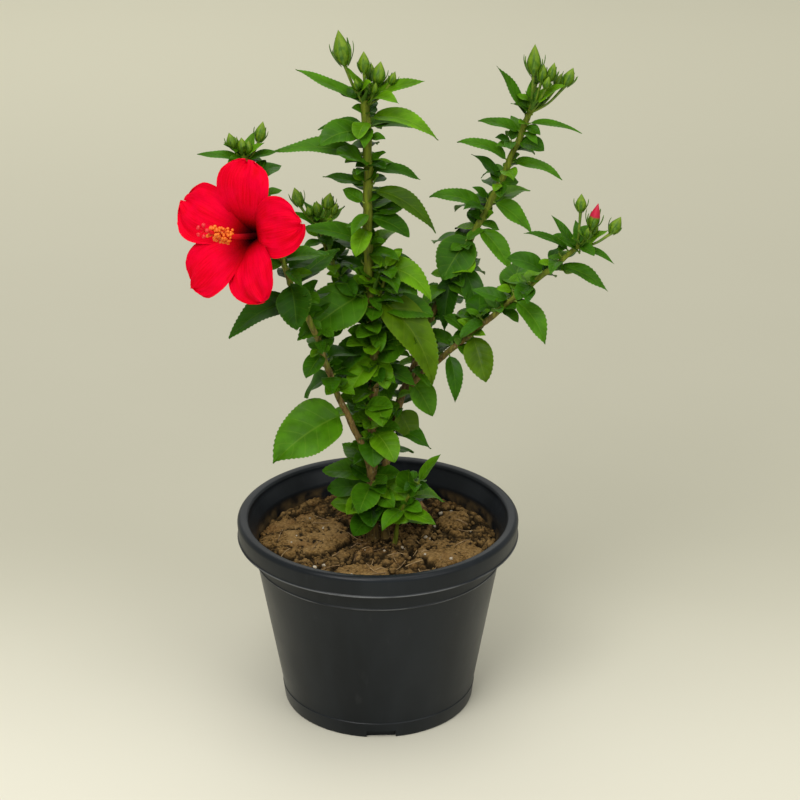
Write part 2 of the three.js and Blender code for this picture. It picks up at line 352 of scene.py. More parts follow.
def leaf_look(name, colour, rib, gloss):
    """A glossy blade with a pale midrib, faint side veins and edge, and darker or paler leaves."""
    look = Look(name, gloss, Specular_IOR_Level=0.12)
    across, along, _ = look.local()
    off = look.maths("ABSOLUTE", look.maths("MULTIPLY_ADD", across, 2.0, -1.0))
    midrib = look.range(off, 0.0, 0.06, 1.0, 0.0)
    slant = look.maths("SUBTRACT", along, look.maths("MULTIPLY", off, 0.2))
    wave = look.maths("PINGPONG", look.maths("MULTIPLY", slant, 6.0), 0.5)
    vein = look.maths("MULTIPLY", look.range(wave, 0.0, 0.06, 1.0, 0.0),
                      look.range(off, 0.7, 1.0, 0.45, 0.0))
    edge = look.range(off, 0.9, 1.0, 0.0, 0.65)
    lines = look.maths("MAXIMUM", look.maths("MAXIMUM", look.maths("MULTIPLY", midrib, 0.7), vein), edge)
    mottle = look.noise(75, 4)
    fine = look.noise(900, 2)
    body = look.mix(look.range(mottle, 0.35, 0.65), shade(colour, 0.84), shade(colour, 1.16))
    body = look.mix(look.range(off, 0.15, 0.95), look.mix(1.0, body, (0.82, 0.85, 0.8, 1), "MULTIPLY"), body)
    body = look.mix(look.tone(), look.mix(1.0, body, (0.62, 0.68, 0.6, 1), "MULTIPLY"),
                    look.mix(1.0, body, (1.5, 1.3, 1.3, 1), "MULTIPLY"))
    body = look.mix(look.maths("MULTIPLY", lines, 0.5), body, shade(rib))
    rough = look.range(mottle, 0.3, 0.7, gloss - 0.05, gloss + 0.12)
    pillow = look.maths("SUBTRACT", look.range(wave, 0.0, 0.5), midrib)
    normal = look.bump(pillow, 0.14, 0.001)
    normal = look.bump(fine, 0.1, 0.0004, normal)
    return look.finish(body, rough, normal)


def underside_look(colour):
    look = Look("leaf underside", 0.6, Specular_IOR_Level=0.1)
    mottle = look.noise(140, 3)
    body = look.mix(mottle, shade(colour, 0.8), shade(colour, 1.2))
    return look.finish(body, None, look.bump(mottle, 0.2, 0.0006))


def petal_look():
    """Crimson silk with fine veins that run out from a dark throat."""
    look = Look("petal", 0.65, Specular_IOR_Level=0.03)
    _, along, local = look.local()
    fan = look.noise(9, 3, place=local, stretch=(5, 0.35, 1))
    fine = look.noise(24, 2, place=local, stretch=(6, 0.3, 1))
    broad = look.noise(60, 2)
    body = look.mix(look.range(fan, 0.3, 0.7), (0.63, 0.0, 0.008, 1), (0.8, 0.0, 0.022, 1))
    body = look.mix(look.range(broad, 0.35, 0.7, 0.0, 0.6), body, (0.86, 0.0, 0.036, 1))
    body = look.mix(look.range(along, 0.42, 0.16), body, (0.36, 0.0, 0.002, 1))
    body = look.mix(look.range(along, 0.24, 0.07), body, (0.045, 0.0, 0.002, 1))
    ridges = look.maths("ADD", fan, look.maths("MULTIPLY", fine, 0.6))
    return look.finish(body, look.range(fine, 0.3, 0.7, 0.5, 0.7), look.bump(ridges, 0.35, 0.0012))


def bark_look(name, brown, green):
    """Ridged bark, brown where the tone is high and green where it is low."""
    look = Look(name, 0.75, Specular_IOR_Level=0.25)
    ridge = look.noise(420, 4, stretch=(1, 1, 0.16))
    patch = look.noise(60, 3)
    dots = look.noise(520, 1, stretch=(1, 1, 0.6))
    old = look.mix(look.range(ridge, 0.3, 0.7), shade(brown, 0.45), shade(brown, 1.5))
    old = look.mix(look.range(dots, 0.64, 0.72, 0.0, 0.7), old, (0.3, 0.26, 0.14, 1))
    young = look.mix(look.range(ridge, 0.3, 0.7), shade(green, 0.6), shade(green, 1.35))
    share = look.maths("ADD", look.tone(), look.maths("MULTIPLY_ADD", patch, 0.9, -0.45))
    body = look.mix(look.range(share, 0.3, 0.7), young, old)
    return look.finish(body, look.range(ridge, 0.3, 0.7, 0.6, 0.85), look.bump(ridge, 0.6, 0.0008))


def bud_look():
    """A pale green calyx with five darker seams."""
    look = Look("bud", 0.5, Specular_IOR_Level=0.3)
    across, along, _ = look.local()
    ribs = look.maths("PINGPONG", look.maths("MULTIPLY", across, 5.0), 0.5)
    mottle = look.noise(300, 3)
    body = look.mix(look.range(mottle, 0.3, 0.7), (0.065, 0.165, 0.002, 1), (0.15, 0.26, 0.006, 1))
    body = look.mix(look.range(ribs, 0.0, 0.25, 0.7, 0.0), body, (0.018, 0.07, 0.001, 1))
    body = look.mix(look.range(along, 0.5, 1.0, 0.0, 0.5), body, (0.22, 0.32, 0.015, 1))
    showing = look.maths("MULTIPLY", look.range(along, 0.46, 0.56), look.range(look.tone(), 1.2, 1.8))
    body = look.mix(showing, body, (0.5, 0.01, 0.045, 1))
    return look.finish(body, None, look.bump(ribs, 0.4, 0.0008))


def plain_look(name, dark, pale, scale, roughness, bump=0.3, distance=0.0006, **fixed):
    look = Look(name, roughness, **fixed)
    mottle = look.noise(scale, 4)
    body = look.mix(look.range(mottle, 0.3, 0.7), shade(dark), shade(pale))
    return look.finish(body, None, look.bump(mottle, bump, distance))


def column_look():
    """The staminal column: dark in the throat, red on towards the stigmas."""
    look = Look("column", 0.5, Specular_IOR_Level=0.2)
    body = look.mix(look.tone(), (0.1, 0.0, 0.003, 1), (0.78, 0.008, 0.02, 1))
    return look.finish(body, None, look.bump(look.noise(800), 0.2, 0.0004))


def pot_look():
    """Black moulded plastic: satin, faintly streaked, with dried mud inside and a pale painted highlight
    along its two beads.
    """
    look = Look("black plastic", 0.3, Specular_IOR_Level=0.22)
    streak = look.noise(26, 4, stretch=(1, 1, 0.12))
    cloud = look.noise(14, 4)
    grain = look.noise(1400, 2)
    scuff = look.noise(90, 6, stretch=(1, 1, 0.4))
    body = look.mix(look.range(streak, 0.3, 0.7), (0.004, 0.006, 0.0085, 1), (0.009, 0.012, 0.016, 1))
    body = look.mix(look.range(cloud, 0.45, 0.75, 0.0, 0.3), body, (0.018, 0.021, 0.025, 1))
    body = look.mix(look.range(scuff, 0.64, 0.78, 0.0, 0.2), body, (0.04, 0.042, 0.045, 1))
    # Painted highlight: rows with tone -1, the beads at the lip's and band's lower edges, are painted pale,
    # broken by noise.
    painted_highlight = look.maths("MULTIPLY", look.range(look.tone(), -0.2, -1.0),
                      look.range(look.noise(22, 3), 0.35, 0.6))
    body = look.mix(look.maths("MULTIPLY", painted_highlight, 0.75), body, (0.15, 0.155, 0.16, 1))
    stain = look.maths("MULTIPLY", look.range(look.noise(70, 5), 0.36, 0.62),
                       look.range(look.tone(), 0.0, 1.0))
    stain = look.maths("MULTIPLY", stain, look.range(look.height(), 0.164, 0.156))
    body = look.mix(stain, body, (0.1, 0.066, 0.028, 1))
    rough = look.maths("ADD", look.range(cloud, 0.3, 0.7, 0.3, 0.42), look.maths("MULTIPLY", stain, 0.4))
    normal = look.bump(streak, 0.1, 0.002)
    return look.finish(body, rough, look.bump(grain, 0.08, 0.0003, normal))


def soil_look():
    """Dry brown earth, with painted shade: nearly black where the tone is low, in its cracks, rifts and
    hollows.
    """
    look = Look("earth", 0.95, Specular_IOR_Level=0.1)
    grit = look.noise(420, 6)
    clump = look.noise(55, 5)
    speck = look.noise(800, 2)
    body = look.mix(look.range(grit, 0.3, 0.7), (0.075, 0.042, 0.013, 1), (0.25, 0.148, 0.05, 1))
    body = look.mix(look.range(clump, 0.42, 0.68, 0.0, 0.6), body, (0.31, 0.195, 0.075, 1))
    body = look.mix(look.range(look.noise(30, 3), 0.5, 0.68, 0.0, 0.45), body, (0.13, 0.062, 0.02, 1))
    body = look.mix(look.range(speck, 0.66, 0.74, 0.0, 0.5), body, (0.42, 0.33, 0.2, 1))
    # Painted shade: the earth turns nearly black where the tone is low, in cracks, rifts and hollows.
    body = look.mix(look.range(look.tone(), 0.0, 0.8), (0.012, 0.008, 0.003, 1), body)
    return look.finish(body, None, look.bump(grit, 0.8, 0.0018))


# ---------------------------------------------------------------- stems

# Each stem's spine, in millimetres, is the one that the model's limb follows, on to its tip.
# Most points were worked out by a separate program, from points read off the photograph.
SPINES = {
    "trunk": [(-5, 8, 150), (-5, 6, 224), (-4, 3, 290), (-2, 2, 342),
              (-6, 3, 399), (-8, 2, 450), (-7, 0, 503), (-9, 0, 566)],
    "left_bough": [(-5, 6, 205), (-10, -3, 241), (-34, -20, 306), (-53, -36, 372),
                   (-73, -48, 423), (-89, -50, 481), (-109, -45, 531)],
    "inner_left_shoot": [(-2, 2, 342), (-17, 8, 374), (-39, 20, 414), (-52, 28, 448)],
    "right_bough": [(6, 10, 150), (7, 13, 225), (17, 20, 274), (38, 32, 327),
                    (50, 40, 361), (84, 56, 427), (106, 62, 470), (134, 58, 543)],
    "right_outer_bough": [(24, 24, 290), (36, 18, 307), (80, -8, 358), (120, -28, 402),
                          (170, -47, 454)],
    "foot_shoot": [(14, -4, 150), (22, -8, 190), (36, -12, 218)],
    "right_side_shoot": [(-5, 2, 378), (4, -2, 396), (7, -3, 414)],
    "bloom_stalk": [(-76, -49, 434), (-80, -58, 452), (-89.5, -67.4, 469)],
}

# The stems with bark. The others are green shoots.
WOODY = ("trunk", "left_bough", "right_bough")


class Stem:
    """One tapering stem with swollen nodes, where its leaves stand."""

    def __init__(self, name, foot, tip, flare=0.0, old=0.0, young=0.0, node_step=19):
        self.name = name
        self.path = smooth_path(SPINES[name], 120)
        self.length = sum((b - a).length for a, b in zip(self.path, self.path[1:]))
        self.foot = foot
        self.tip = tip
        self.flare = flare
        self.ages = (old, young)
        self.nodes = max(2, round(self.length / node_step))

    def at(self, share):
        place = min(max(share, 0), 1) * (len(self.path) - 1)
        k = min(int(place), len(self.path) - 2)
        return self.path[k].lerp(self.path[k + 1], place - k)

    def along(self, share):
        return (self.at(share + 0.02) - self.at(share - 0.02)).normalized()

    def radius(self, share):
        return lerp(self.foot, self.tip, share) + self.flare * math.exp(-share * self.length / 9)

    def mesh(self, look):
        pile = Pile()
        count = max(12, round(self.length / 1.6))
        path = [self.at(i / (count - 1)) for i in range(count)]
        seed = Vector((len(self.name) * 3.1, self.foot, self.tip))

        def wander(i):
            knee = math.sin(i / count * self.nodes * math.pi) * 0.45
            return Vector((knee, math.cos(i * 0.11 + seed.x) * 0.35, 0))

        path = [point + wander(i) for i, point in enumerate(path)]

        def relief(share, turn):
            beat = (share * self.nodes) % 1
            knot = math.exp(-((min(beat, 1 - beat) / 0.09) ** 2))
            ring = Vector((math.cos(turn) * 2.2, math.sin(turn) * 2.2, share * self.length * 0.09))
            rough = noise.noise(ring + seed) * 0.16 * self.foot
            return 0.32 * knot * (1 + 0.5 * math.cos(turn * 2 + share * 40)) + rough * 0.6

        radii = [self.radius(i / (count - 1)) for i in range(count)]
        old, young = self.ages
        tones = [lerp(old, young, i / (count - 1)) for i in range(count)]
        pile.tube(path, radii, 16, 0, tones, relief)
        slot_name = "bark" if self.name in WOODY else "green_stem"
        return pile.build(self.name + "_bark", [look], slot_name, [self.name])


# Name, radius at the foot and at the tip, root flare, then how brown the bark is at the foot
# and at the tip, and the distance between nodes.
STEMS = {
    stem.name: stem
    for stem in (
        Stem("trunk", 4.8, 3.7, 2.2, 0.95, 0.0),
        Stem("left_bough", 3.0, 2.1, 0, 0.85, 0.2),
        Stem("inner_left_shoot", 2.0, 1.4, 0, 0.7, 0.1, 17),
        Stem("right_bough", 3.8, 2.6, 1.6, 1.2, 0.05),
        Stem("right_outer_bough", 2.8, 2.1, 0, 0.8, 0.1),
        Stem("foot_shoot", 1.9, 1.2, 0.8, 0.5, 0.0, 15),
        Stem("right_side_shoot", 1.6, 1.1, 0, 0.3, 0.0, 12),
        Stem("bloom_stalk", 1.6, 1.8, 0, 0.3, 0.0, 40),
    )
}


# ---------------------------------------------------------------- leaves

# Where leaves turn their faces.
LIGHT_SIDE = Vector((-0.15, -1, 0.7)).normalized()
TONES = ("dark", "mid", "young", "olive")
LEAF_PILES = {tone: Pile() for tone in TONES}
PETIOLES = Pile()
leaf_dice = random.Random(20)
FOOT_LEAF_COUNT = 17
SIDE_VEINS = 6
TOOTH_OUT = 0.5
TOOTH_IN = -0.3


def blade_width(share, point):
    """Half width of a pointed oval leaf with a round base, as a share of its greatest.
    point is how long its tip is drawn out."""
    broadest = 0.62 / (0.62 + point)
    greatest = broadest ** 0.62 * (1 - broadest) ** point
    return share ** 0.62 * (1 - share) ** point / greatest


def leaf(tone, base, bearing, rise, reach, width, droop=25, lean=0.4, fold=16):
    """A toothed, folded blade on its petiole. reach is from the stem to the leaf's tip."""
    dice = leaf_dice
    stalk = min(max(reach * 0.1, 1.5), 7)
    blade = reach - stalk
    heading = aim(bearing, 0)
    start = rise + droop / 2
    steps = 6
    point = base.copy()
    path = [point.copy()]
    for k in range(steps):
        angle = math.radians(start + (1 - k / steps) * 12)
        point = point + (heading * math.cos(angle) + UP * math.sin(angle)) * (stalk / steps)
        path.append(point.copy())
    thick = 0.5 + reach * 0.008
    PETIOLES.tube(path, [thick * (1.3 - 0.5 * k / steps) for k in range(steps + 1)], 6, 0,
                  dice.uniform(0.2, 0.8))

    rows_count = min(max(round(reach * 0.55), 12), 44)
    point_length = 0.85 if width > 0.5 * reach and reach < 60 else 1.1
    columns = 3 if reach < 26 else 4 if reach < 50 else 5
    side_level = UP.cross(heading).normalized()
    arc = math.radians(max(droop, 1))
    blade_length = blade * (arc / 2) / math.sin(arc / 2)
    wave = dice.uniform(0, 6.3)
    twist = dice.uniform(-16, 16)
    sweep = dice.uniform(-0.08, 0.08)
    ripple = dice.uniform(0.6, 1.6) * width * 0.024
    rows = []
    normals = []
    for i in range(rows_count + 1):
        share = i / rows_count
        angle = math.radians(start - droop * share)
        ahead = heading * math.cos(angle) + UP * math.sin(angle)
        if i:
            point = point + ahead * (blade_length / rows_count)
        normal = ahead.cross(side_level)
        wanted = LIGHT_SIDE - ahead * LIGHT_SIDE.dot(ahead)
        if wanted.length > 0.05:
            turn = normal.angle(wanted.normalized())
            if turn > 0.01:
                normal = Matrix.Rotation(turn * lean, 3, normal.cross(wanted)) @ normal
        normal = (Matrix.Rotation(math.radians(twist * share), 3, ahead) @ normal).normalized()
        side = normal.cross(ahead).normalized()
        half = max(width / 2 * blade_width(share, point_length), 0.35 if i < rows_count else 0.12)
        tooth = smoothstep(share, 0.2, 0.5) * smoothstep(reach, 24, 60)
        tooth = tooth * (TOOTH_OUT if i % 2 else TOOTH_IN) / max(half, 6)
        middle = point + side * (sweep * blade * share * share)
        row = []
        for j in range(-columns, columns + 1):
            off = j / columns
            edge = abs(j) == columns
            spread = half * off * (1 + (tooth if edge else 0))
            lift = abs(off) * half * math.tan(math.radians(fold)) * (1 - 0.4 * share)
            lift += ripple * math.sin(share * 9 + wave + (1.4 if off > 0 else 0)) * off * off * 2
            vein = (share - 0.22 * abs(off)) * SIDE_VEINS * 2 * math.pi
            lift -= 0.008 * width * math.cos(vein) * abs(off) * (1 - abs(off)) * 2
            lift -= 0.018 * width * math.exp(-(off / 0.15) ** 2)
            forward = 0.3 * blade_length / rows_count if edge and i % 2 and reach > 40 else 0
            row.append(middle - side * spread + normal * lift + ahead * forward)
        rows.append(row)
        normals.append(normal)
    room = 3 if reach > 55 else 2 if reach > 24 else 1
    LEAF_PILES[tone].shell(rows, normals, 0.3, 0, 1, dice.uniform(0.1, 0.9), room)


# The leaves that give each stem its outline: (share along the stem, bearing, rise, reach to
# the tip, blade width, tone, droop), then the turn to the light of those that face the front.
# Most rows began as the output of a separate program, worked out from points read off the photograph. They
# were then changed and rounded to 5 degrees or millimetres.
D, M, Y, O = TONES
KEY_LEAVES = {
    "trunk": [
        (1.0, 205, 60, 35, 15, Y, 5), (0.99, 182, 25, 65, 15, M, 10), (1.0, 345, 20, 55, 15, Y, 15),
        (0.99, 315, 10, 40, 15, Y, 60), (0.96, 350, -15, 65, 20, Y, 55, 0.5),
        (0.94, 25, -10, 60, 20, M, 35),
        (0.93, 210, -10, 45, 25, M, 60, 0.6), (0.94, 160, -10, 45, 15, D, 40),
        (0.88, 180, 5, 80, 20, M, 25),
        (0.86, 225, 25, 40, 25, M, 30), (0.82, 170, 5, 40, 15, M, 15), (0.85, 20, -20, 50, 15, D, 45),
        (0.81, 340, -30, 70, 20, O, 55, 0.5), (0.75, 35, 5, 50, 25, M, 20),
        (0.75, 350, -25, 40, 25, M, 40),
        (0.69, 190, 15, 60, 20, M, 30), (0.59, 215, -25, 80, 45, M, 20, 0.75),
        (0.63, 340, -20, 65, 25, Y, 85, 0.5),
        (0.55, 350, -5, 55, 30, M, 40), (0.58, 330, -55, 95, 35, O, 70, 0.65),
        (0.44, 330, 30, 50, 35, M, 20, 0.7),
        (0.47, 190, -35, 50, 30, D, 40, 0.6), (0.47, 215, 35, 35, 20, M, 10, 0.6),
        (0.44, 235, -30, 40, 25, Y, 30, 0.6),
        (0.44, 290, -35, 35, 20, Y, 30, 0.6), (0.41, 345, -20, 40, 20, M, 50),
        (0.33, 200, 15, 35, 20, Y, 25, 0.6),
        (0.34, 290, -20, 35, 25, Y, 35, 0.8), (0.26, 270, -35, 35, 25, D, 30, 0.6),
        (0.27, 305, -30, 40, 25, Y, 40, 0.7),
        (0.16, 175, 0, 45, 25, M, 25, 0.5), (0.16, 340, 5, 30, 20, M, 20),
    ],
    "left_bough": [
        (0.25, 212, -25, 80, 50, M, 35, 0.8), (0.37, 155, -45, 35, 25, D, 40),
        (0.48, 40, 20, 30, 20, M, 20),
        (0.67, 285, -45, 45, 30, D, 30, 0.8), (0.61, 205, -20, 70, 30, D, 45, 0.55),
        (0.73, 345, 10, 40, 20, M, 20),
        (0.7, 20, 15, 40, 20, D, 25), (0.99, 190, 10, 40, 10, M, 10), (0.99, 350, 15, 30, 10, M, 10),
    ],
    "inner_left_shoot": [
        (0.69, 250, 60, 25, 15, Y, 5), (0.95, 15, 40, 30, 15, Y, 5), (0.9, 350, 15, 30, 20, M, 30),
        (0.7, 200, -10, 45, 20, M, 30), (0.35, 200, 10, 35, 20, M, 30, 0.6),
    ],
    "right_bough": [
        (1.0, 350, 35, 35, 15, Y, 30), (0.25, 345, -20, 40, 20, D, 50),
        (0.3, 330, -60, 30, 25, O, 20, 0.7),
        (0.37, 320, -50, 40, 25, M, 30), (0.97, 180, 60, 55, 15, M, 10), (0.94, 185, 15, 40, 15, M, 30),
        (0.87, 185, 20, 50, 15, M, 55), (0.96, 350, -10, 50, 10, M, 35),
        (0.87, 350, -15, 50, 15, M, 40),
        (0.75, 190, 20, 55, 20, M, 55), (0.78, 335, -35, 45, 20, M, 40),
        (0.7, 225, -40, 50, 35, M, 20, 0.85),
        (0.62, 300, 10, 30, 25, Y, 50, 0.6), (0.64, 300, -60, 70, 20, D, 50, 0.5),
        (0.62, 240, -65, 55, 20, D, 25, 0.4),
        (0.72, 320, -45, 50, 20, M, 40), (0.83, 170, 40, 35, 15, D, 20),
        (0.92, 335, -15, 25, 20, M, 30),
    ],
    "right_outer_bough": [
        (0.42, 290, -55, 45, 25, O, 25, 0.7), (0.28, 290, -65, 45, 15, D, 60),
        (0.64, 170, 10, 35, 15, D, 10),
        (0.65, 320, -40, 50, 20, M, 45), (0.82, 180, 20, 35, 20, D, 45), (0.95, 185, 25, 45, 10, M, 40),
        (0.98, 165, 50, 35, 10, M, 5), (0.87, 345, -25, 50, 15, M, 45), (0.98, 345, -20, 35, 10, M, 40),
    ],
    "foot_shoot": [
        (1.0, 355, 55, 35, 15, Y, 5), (0.75, 270, 70, 35, 25, M, 10, 0.8),
        (0.55, 315, -5, 40, 15, Y, 20, 0.6),
    ],
    "right_side_shoot": [(1.0, 10, 50, 25, 15, Y, 10), (0.6, 330, 0, 35, 20, M, 40)],
}


def key_leaves():
    for name, rows in KEY_LEAVES.items():
        stem = STEMS[name]
        for share, bearing, rise, reach, width, tone, droop, *lean in rows:
            leaf(tone, stem.at(share), bearing, rise, reach, width, droop, *lean)


# Bearings of leaves that point away from the camera's side and towards it.
AWAY = 90
TOWARDS = 270


def axil_spray(stem, share, bearing, dice, size):
    """A short side twig with a few young leaves that stand around its end."""
    foot = stem.at(share)
    length = size * dice.uniform(0.25, 0.45)
    end = foot + aim(bearing, dice.uniform(25, 55)) * length
    PETIOLES.tube([foot, foot.lerp(end, 0.5) - UP * 0.4, end], [0.9, 0.8, 0.7], 6, 0, 0.3)
    turn = dice.uniform(0, 360)
    for k in range(dice.choice((1, 2, 3)) if share > 0.62 else dice.choice((3, 4))):
        turn += GOLDEN_TURN
        reach = size * dice.uniform(0.7, 1.15)
        leaf(dice.choice((M, M, M, Y, Y, D)), end, turn, dice.uniform(-10, 45), reach,
             reach * dice.uniform(0.54, 0.68), dice.uniform(10, 40), dice.uniform(0.35, 0.65))


def filling_leaves():
    """The branching rule: at every node of a stem one leaf a golden turn on from the last,
    and a spray of small young leaves in its axil. Leaves towards either side stay short, so
    that the plant keeps its open outline, and longer ones fill it out in front and behind."""
    dice = random.Random(7)
    for name, stem in STEMS.items():
        if name == "bloom_stalk":
            continue
        bushy = name == "trunk"
        bearing = dice.uniform(0, 360)
        lowest = 0.12 if bushy else 0.3
        for k in range(stem.nodes + 1):
            share = k / stem.nodes
            bearing += GOLDEN_TURN + dice.uniform(-15, 15)
            if share < lowest:
                continue
            open_side = abs(math.cos(math.radians(bearing)))
            reach = dice.uniform(30, 44) * (1 - 0.42 * open_side) * (0.75 if share > 0.8 else 1)
            leaf(dice.choice((D, M, M, M, M, Y)), stem.at(share), bearing, dice.uniform(-30, 12), reach,
                 reach * dice.uniform(0.48, 0.62), dice.uniform(20, 50), dice.uniform(0.3, 0.6))
            axil_spray(stem, share, bearing, dice, 18 if share > 0.6 else 24 if bushy else 17)
            for facing in (AWAY, AWAY, TOWARDS) if k % 2 else (AWAY, AWAY):
                short = share > 0.8 or facing == TOWARDS
                reach = dice.uniform(34, 54) * (0.7 if short else 1.15)
                tone = dice.choice((D, M, M, Y))
                turn = facing + dice.uniform(-45, 45)
                leaf(tone, stem.at(share - 0.3 / stem.nodes), turn, dice.uniform(-25, 20), reach,
                     reach * dice.uniform(0.36, 0.48), dice.uniform(20, 55), 0.3)
            if bushy and share > 0.2:
                for hand in (120, 240) if share < 0.62 else (180,):
                    axil_spray(stem, share, bearing + hand, dice, 27 if share < 0.6 else 19)


def foot_leaves():
    """The ring of leaves that hides the trunk's foot."""
    dice = random.Random(12)
    bearing = 200
    for k in range(FOOT_LEAF_COUNT):
        bearing += GOLDEN_TURN
        share = lerp(0.15, 0.055, k / (FOOT_LEAF_COUNT - 1))
        reach = dice.uniform(32, 44)
        leaf(dice.choice((M, M, Y, D)), STEMS["trunk"].at(share), bearing + dice.uniform(-12, 12),
             dice.uniform(-22, 10), reach, reach * dice.uniform(0.55, 0.68), dice.uniform(15, 35),
             dice.uniform(0.5, 0.75))


# ---------------------------------------------------------------- buds

BUDS = Pile()
BRACTS = Pile()


def bract(base, outward, up, length, width):
    """A narrow pointed leaflet that curves up beside a bud."""
    rows = []
    normals = []
    side = outward.cross(up).normalized()
    for i in range(9):
        share = i / 8
        out = math.sin(share * 1.8) * length * 0.36
        point = base + outward * out + up * (length * share)
        half = max(width / 2 * math.sin(math.pi * min(share * 0.8 + 0.12, 0.99)) ** 0.8, 0.12)
        rows.append([point - side * (half * off) + outward * (0.25 * abs(off)) for off in (-1, 0, 1)])
        normals.append((outward - up * 0.25).normalized())
    BRACTS.shell(rows, normals, 0.3, 0, 0)


def bud(base, tip, girth, opening=False, bracts=7):
    """A ribbed pointed bud in its ring of bracts. Where it is opening, its tip shows red."""
    axis = tip - base
    length = axis.length
    up = axis.normalized()
    profile = []
    for i in range(17):
        share = i / 16
        swell = math.sin(math.pi * share ** 0.8) ** 0.85 * (1.08 - 0.35 * share)
        profile.append((share * length, max(girth / 2 * swell, 0.9 if share < 0.5 else 0.15)))
    BUDS.ball(base, up, profile, 20, 0, 2.0 if opening else 0.5, 5, 0.08)
    side = up.orthogonal().normalized()
    for k in range(bracts):
        outward = Matrix.Rotation(2 * math.pi * (k + 0.3) / bracts, 3, up) @ side
        bract(base + outward * girth * 0.2, outward, up, length * leaf_dice.uniform(0.5, 0.75),
              girth * 0.14 + 0.7)


def stalked_bud(stem, place, length, girth, opening=False):
    """A bud whose tip is at a place told from the stem's end, on a curved pedicel."""
    foot = stem.at(0.985)
    tip = stem.at(1) + Vector(place)
    away = (tip - foot).normalized()
    up = (away + UP * 0.9).normalized()
    base = tip - up * length
    span = base - foot
    middle = foot + span * 0.5 - UP * span.length * 0.07 + Vector((away.x, away.y, 0)) * 1.5
    path = smooth_path([foot, middle, base + up * 0.8], 12)
    PETIOLES.tube(path, [0.85 + 0.02 * girth + 0.5 * (k / 11) ** 4 for k in range(12)], 7, 0, 0.4)
    bud(base, tip, girth, opening)


# Where the buds at each stem's end have their tips, told from that end, then length and girth.
BUD_TIPS = {
    "trunk": [
        ((-22, 0, 59), 31, 15), ((-1, -4, 42), 19, 11), ((13, 2, 32), 20, 13), ((25, -4, 25), 12, 7),
        ((20, 6, 18), 12, 6), ((5, 8, 29), 15, 10), ((9, -9, 17), 11, 6), ((-8, -8, 20), 11, 6),
    ],
    "right_bough": [
        ((1, 0, 55), 28, 13), ((9, -2, 38), 16, 9), ((18, 0, 39), 17, 9), ((34, -2, 35), 18, 11),
        ((25, 6, 28), 14, 8), ((13, -8, 29), 12, 8), ((4, 9, 30), 12, 8),
    ],
    "right_outer_bough": [
        ((0, 0, 45), 16, 10), ((14, -1, 37), 24, 10, True), ((33, -3, 26), 17, 11), ((15, 7, 17), 11, 6),
        ((6, -7, 18), 11, 6),
    ],
    "left_bough": [
        ((-11, -1, 20), 14, 9), ((-1, -1, 16), 13, 9), ((5, 1, 13), 12, 8), ((17, 1, 29), 18, 10),
        ((-6, 6, 14), 10, 6),
    ],
    "inner_left_shoot": [
        ((12, -2, 28), 16, 12), ((0, 0, 20), 13, 8), ((-8, 0, 15), 10, 7), ((18, -6, 20), 12, 7),
        ((-19, 0, 32), 18, 11),
    ],
}


def spent_bud():
    """The withered bud on its short stalk, under the outer bough's tip."""
    foot = STEMS["right_outer_bough"].at(0.84)
    base = foot + Vector((12, -4, 2))
    PETIOLES.tube([foot, foot.lerp(base, 0.5) + UP, base], [1.0, 0.9, 1.1], 6, 0, 0.7)
    bud(base, base + Vector((9, -1, -2)), 5.5, bracts=0)


def buds():
    dice = random.Random(3)
    spent_bud()
    for name, rows in BUD_TIPS.items():
        stem = STEMS[name]
        for row in rows:
            stalked_bud(stem, *row)
        turn = dice.uniform(0, 360)
        for k in range(7):
            turn += GOLDEN_TURN
            reach = dice.uniform(15, 28)
            leaf(Y if k % 3 else M, stem.at(1) - UP * (k * 1.2), turn, dice.uniform(25, 60), reach,
                 reach * dice.uniform(0.38, 0.5), dice.uniform(0, 25), 0.3)


# ---------------------------------------------------------------- the bloom

# The middle of the bloom's throat, its turn off the front and its lift in degrees, then the
# petals' half width and lengths, the first one's angle, and the column's length.
THROAT = Vector((-98, -80, 474))
BLOOM_TURN = 34
BLOOM_LIFT = 18
PETAL_HALF = 25
PETAL_LENGTHS = (63, 60, 62, 61, 61)
FIRST_PETAL = 161
COLUMN_LENGTH = 66
ANTHER_COUNT = 96


def bloom_frame():
    axis = aim(270 - BLOOM_TURN, BLOOM_LIFT)
    side = axis.cross(UP).normalized()
    return axis, side, side.cross(axis)


